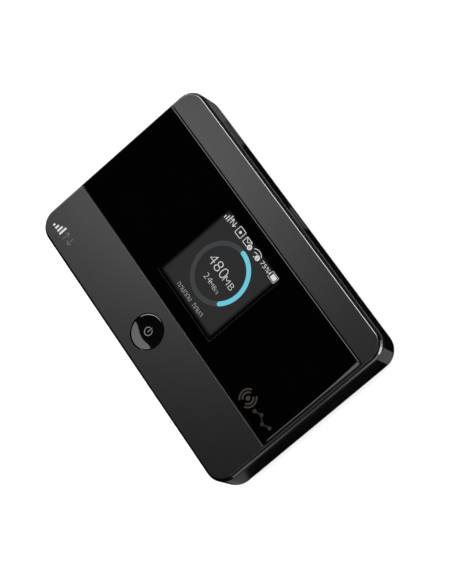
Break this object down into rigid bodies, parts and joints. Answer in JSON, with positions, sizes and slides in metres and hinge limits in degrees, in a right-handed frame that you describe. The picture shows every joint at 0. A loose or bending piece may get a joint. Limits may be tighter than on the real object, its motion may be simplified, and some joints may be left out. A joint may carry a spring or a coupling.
{
  "type": "mobile hotspot",
  "caption": "Pocket mobile hotspot: glossy black window with a small display, matte strips, round power key, removable rear cover with battery and card pocket.",
  "frame": {"origin": "middle of the rear face, on the surface the device lies on", "axes": "+X along the long side, to the right of the display's picture; +Y towards the long side with the USB port, which is the top of the display's picture; +Z out of the front face"},
  "size_m": [0.106, 0.066, 0.016],
  "materials": {
    "gloss_black": "high gloss moulded black",
    "bezel_gloss": "satin to gloss dark grey rim",
    "matte_grey": "fine matte dark grey",
    "window_black": "polished black acrylic",
    "adhesive": "double-sided tape",
    "frame_black": "fine spark texture",
    "screw_steel": "machined",
    "label_white": "printed film, blank",
    "label_silver": "metallised film, blank",
    "lcd_glass": "polished display glass",
    "light_guide": "clear light guide and films",
    "sheet_steel": "plated stamped sheet",
    "flex_amber": "polyimide film",
    "connector_plastic": "moulded",
    "foam": "closed-cell foam",
    "button_gloss": "high gloss black",
    "symbol_grey": "let-in pale plastic",
    "plunger_white": "moulded",
    "board_green": "solder mask over glass laminate",
    "pad_grey": "silicone",
    "component_tan": "ceramic",
    "antenna_copper": "copper foil",
    "gold_plate": "gold-plated",
    "card_white": "moulded card",
    "cell_wrap": "wrapped cell",
    "cap_black": "moulded",
    "chip_black": "moulded epoxy",
    "display_dark": "lit display background",
    "display_white": "lit display figures",
    "display_grey": "lit display, dim ring",
    "display_cyan": "lit display, gauge",
    "print_white": "pad-printed mark",
    "print_dim": "pad-printed mark, dim"
  },
  "bodies": {
    "cover": {"rear_cover": "gloss_black"},
    "hotspot": {"front_bezel": "bezel_gloss", "front_cover": "matte_grey", "window_panel": "window_black", "window_adhesive": "adhesive", "mid_frame": "frame_black", "case_screws": "screw_steel", "rating_label": "label_white", "lcd_panel": "lcd_glass", "lcd_backlight": "light_guide", "lcd_frame": "sheet_steel", "lcd_flex": "flex_amber", "lcd_connector": "connector_plastic", "lcd_bracket": "frame_black", "display_gasket": "foam", "power_switch": "connector_plastic", "main_board": "board_green", "thermal_pad": "pad_grey", "board_components": "component_tan", "main_antenna": "antenna_copper", "diversity_antenna": "antenna_copper", "wifi_antenna": "antenna_copper", "antenna_clips": "gold_plate", "usb_shell": "sheet_steel", "usb_insulator": "connector_plastic", "usb_contacts": "gold_plate", "sim_socket": "connector_plastic", "sim_shell": "sheet_steel", "sim_contacts": "gold_plate", "memory_socket": "connector_plastic", "memory_shell": "sheet_steel", "reset_switch": "connector_plastic", "battery_connector": "connector_plastic", "baseband_chip": "chip_black", "memory_chip": "chip_black", "wifi_chip": "chip_black", "power_chip": "chip_black", "modem_shield": "sheet_steel", "wifi_shield": "sheet_steel", "power_shield": "sheet_steel"},
    "battery": {"battery_cell": "cell_wrap", "battery_cap": "cap_black", "battery_terminals": "gold_plate", "battery_label": "label_silver"},
    "power_key": {"power_button": "button_gloss", "power_symbol": "symbol_grey", "switch_plunger": "plunger_white"},
    "reset_key": {"reset_plunger": "plunger_white"},
    "sim": {"sim_card": "card_white"},
    "contact_fingers": {"battery_contacts": "gold_plate"}
  },
  "joints": [
    {"name": "cover_release", "type": "slide", "parent": "cover", "child": "hotspot", "axis": [0, 0, 1], "range_m": [0, 0.03]},
    {"name": "battery_removal", "type": "slide", "parent": "hotspot", "child": "battery", "axis": [0, 0, -1], "range_m": [0, 0.015]},
    {"name": "power_press", "type": "slide", "parent": "hotspot", "child": "power_key", "axis": [0, 0, -1], "range_m": [0, 0.00035], "stiffness_N_per_m": 2000},
    {"name": "reset_press", "type": "slide", "parent": "hotspot", "child": "reset_key", "axis": [0, 0, 1], "range_m": [0, 0.00025], "stiffness_N_per_m": 2000},
    {"name": "sim_slide", "type": "slide", "parent": "hotspot", "child": "sim", "axis": [0, -1, 0], "range_m": [0, 0.012]},
    {"name": "contact_press", "type": "slide", "parent": "hotspot", "child": "contact_fingers", "axis": [1, 0, 0], "range_m": [0, 0.0004], "stiffness_N_per_m": 1500}
  ],
  "couplings": [
    {"joint": "battery_removal", "follows": "cover_release", "ratio": 0.5}
  ]
}
